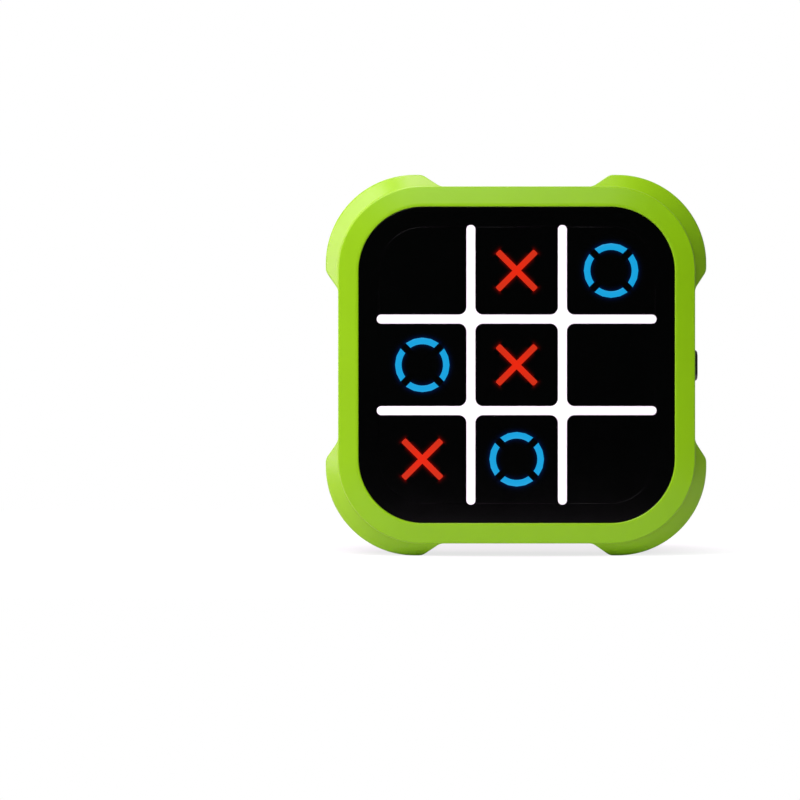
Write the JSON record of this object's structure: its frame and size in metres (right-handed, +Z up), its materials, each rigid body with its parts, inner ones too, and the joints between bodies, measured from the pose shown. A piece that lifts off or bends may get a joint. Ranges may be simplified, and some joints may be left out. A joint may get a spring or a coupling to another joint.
{
  "type": "tic tac toe set",
  "caption": "Hand-held electronic tic tac toe game: square green case with corner bumpers, black pressable keys with light-up X and O marks, white grid, side button, battery door.",
  "frame": {"origin": "middle of the box's bottom face, on the surface that the two lower bumpers stand on", "axes": "+Z up; -Y out of the playing face, which is how the picture sees it; +X to the right in that view, the side with the push button"},
  "size_m": [0.097, 0.027, 0.097],
  "materials": {
    "case_green": "lime green moulded plastic, satin with a very fine texture",
    "smoked_black": "smoked black moulded plastic, high gloss",
    "grid_white": "opaque white moulded plastic, smooth",
    "x_window": "smoked translucent plastic, red when lit",
    "o_window": "smoked translucent plastic, blue when lit",
    "button_black": "black moulded plastic, gloss",
    "inner_white": "white moulded plastic, matt",
    "inner_black": "black moulded plastic, matt",
    "screw_steel": "zinc-plated steel",
    "board_green": "glass-filled board with green solder mask",
    "switch_metal": "tinned steel",
    "diode_red": "clear red resin",
    "diode_blue": "clear blue resin",
    "chip_black": "black resin",
    "cell_wrap": "plain wrapped battery cell",
    "contact_nickel": "nickel-plated spring steel"
  },
  "bodies": {
    "case": {"front_shell": "case_green", "rear_cover": "case_green", "case_screws": "screw_steel", "fascia": "smoked_black", "grid_inlay": "grid_white", "light_baffle": "inner_white", "circuit_board": "board_green", "board_screws": "screw_steel", "key_switches": "switch_metal", "red_diodes": "diode_red", "blue_diodes": "diode_blue", "controller_chip": "chip_black", "speaker": "inner_black", "battery_cells": "cell_wrap", "contact_springs": "contact_nickel", "contact_plates": "contact_nickel", "side_switch": "inner_black"},
    "top_left_key_unit": {"top_left_key": "smoked_black", "top_left_x_window": "x_window", "top_left_o_window": "o_window", "top_left_plunger": "inner_white"},
    "top_centre_key_unit": {"top_centre_key": "smoked_black", "top_centre_x_window": "x_window", "top_centre_o_window": "o_window", "top_centre_plunger": "inner_white"},
    "top_right_key_unit": {"top_right_key": "smoked_black", "top_right_x_window": "x_window", "top_right_o_window": "o_window", "top_right_plunger": "inner_white"},
    "middle_left_key_unit": {"middle_left_key": "smoked_black", "middle_left_x_window": "x_window", "middle_left_o_window": "o_window", "middle_left_plunger": "inner_white"},
    "middle_centre_key_unit": {"middle_centre_key": "smoked_black", "middle_centre_x_window": "x_window", "middle_centre_o_window": "o_window", "middle_centre_plunger": "inner_white"},
    "middle_right_key_unit": {"middle_right_key": "smoked_black", "middle_right_x_window": "x_window", "middle_right_o_window": "o_window", "middle_right_plunger": "inner_white"},
    "bottom_left_key_unit": {"bottom_left_key": "smoked_black", "bottom_left_x_window": "x_window", "bottom_left_o_window": "o_window", "bottom_left_plunger": "inner_white"},
    "bottom_centre_key_unit": {"bottom_centre_key": "smoked_black", "bottom_centre_x_window": "x_window", "bottom_centre_o_window": "o_window", "bottom_centre_plunger": "inner_white"},
    "bottom_right_key_unit": {"bottom_right_key": "smoked_black", "bottom_right_x_window": "x_window", "bottom_right_o_window": "o_window", "bottom_right_plunger": "inner_white"},
    "side_button_unit": {"side_button": "button_black", "side_switch_plunger": "inner_white"},
    "battery_door_unit": {"battery_door": "case_green", "battery_door_screw": "screw_steel"}
  },
  "joints": [
    {"name": "top_left_key_press", "type": "slide", "parent": "case", "child": "top_left_key_unit", "axis": [0, 1, 0], "range_m": [0, 0.0005], "stiffness_N_per_m": 400, "springref_m": -0.001},
    {"name": "top_centre_key_press", "type": "slide", "parent": "case", "child": "top_centre_key_unit", "axis": [0, 1, 0], "range_m": [0, 0.0005], "stiffness_N_per_m": 400, "springref_m": -0.001},
    {"name": "top_right_key_press", "type": "slide", "parent": "case", "child": "top_right_key_unit", "axis": [0, 1, 0], "range_m": [0, 0.0005], "stiffness_N_per_m": 400, "springref_m": -0.001},
    {"name": "middle_left_key_press", "type": "slide", "parent": "case", "child": "middle_left_key_unit", "axis": [0, 1, 0], "range_m": [0, 0.0005], "stiffness_N_per_m": 400, "springref_m": -0.001},
    {"name": "middle_centre_key_press", "type": "slide", "parent": "case", "child": "middle_centre_key_unit", "axis": [0, 1, 0], "range_m": [0, 0.0005], "stiffness_N_per_m": 400, "springref_m": -0.001},
    {"name": "middle_right_key_press", "type": "slide", "parent": "case", "child": "middle_right_key_unit", "axis": [0, 1, 0], "range_m": [0, 0.0005], "stiffness_N_per_m": 400, "springref_m": -0.001},
    {"name": "bottom_left_key_press", "type": "slide", "parent": "case", "child": "bottom_left_key_unit", "axis": [0, 1, 0], "range_m": [0, 0.0005], "stiffness_N_per_m": 400, "springref_m": -0.001},
    {"name": "bottom_centre_key_press", "type": "slide", "parent": "case", "child": "bottom_centre_key_unit", "axis": [0, 1, 0], "range_m": [0, 0.0005], "stiffness_N_per_m": 400, "springref_m": -0.001},
    {"name": "bottom_right_key_press", "type": "slide", "parent": "case", "child": "bottom_right_key_unit", "axis": [0, 1, 0], "range_m": [0, 0.0005], "stiffness_N_per_m": 400, "springref_m": -0.001},
    {"name": "side_button_press", "type": "slide", "parent": "case", "child": "side_button_unit", "axis": [-1, 0, 0], "range_m": [0, 0.0005], "stiffness_N_per_m": 400, "springref_m": -0.001},
    {"name": "battery_door_lift", "type": "slide", "parent": "case", "child": "battery_door_unit", "axis": [0, 1, 0], "range_m": [0, 0.012]}
  ]
}
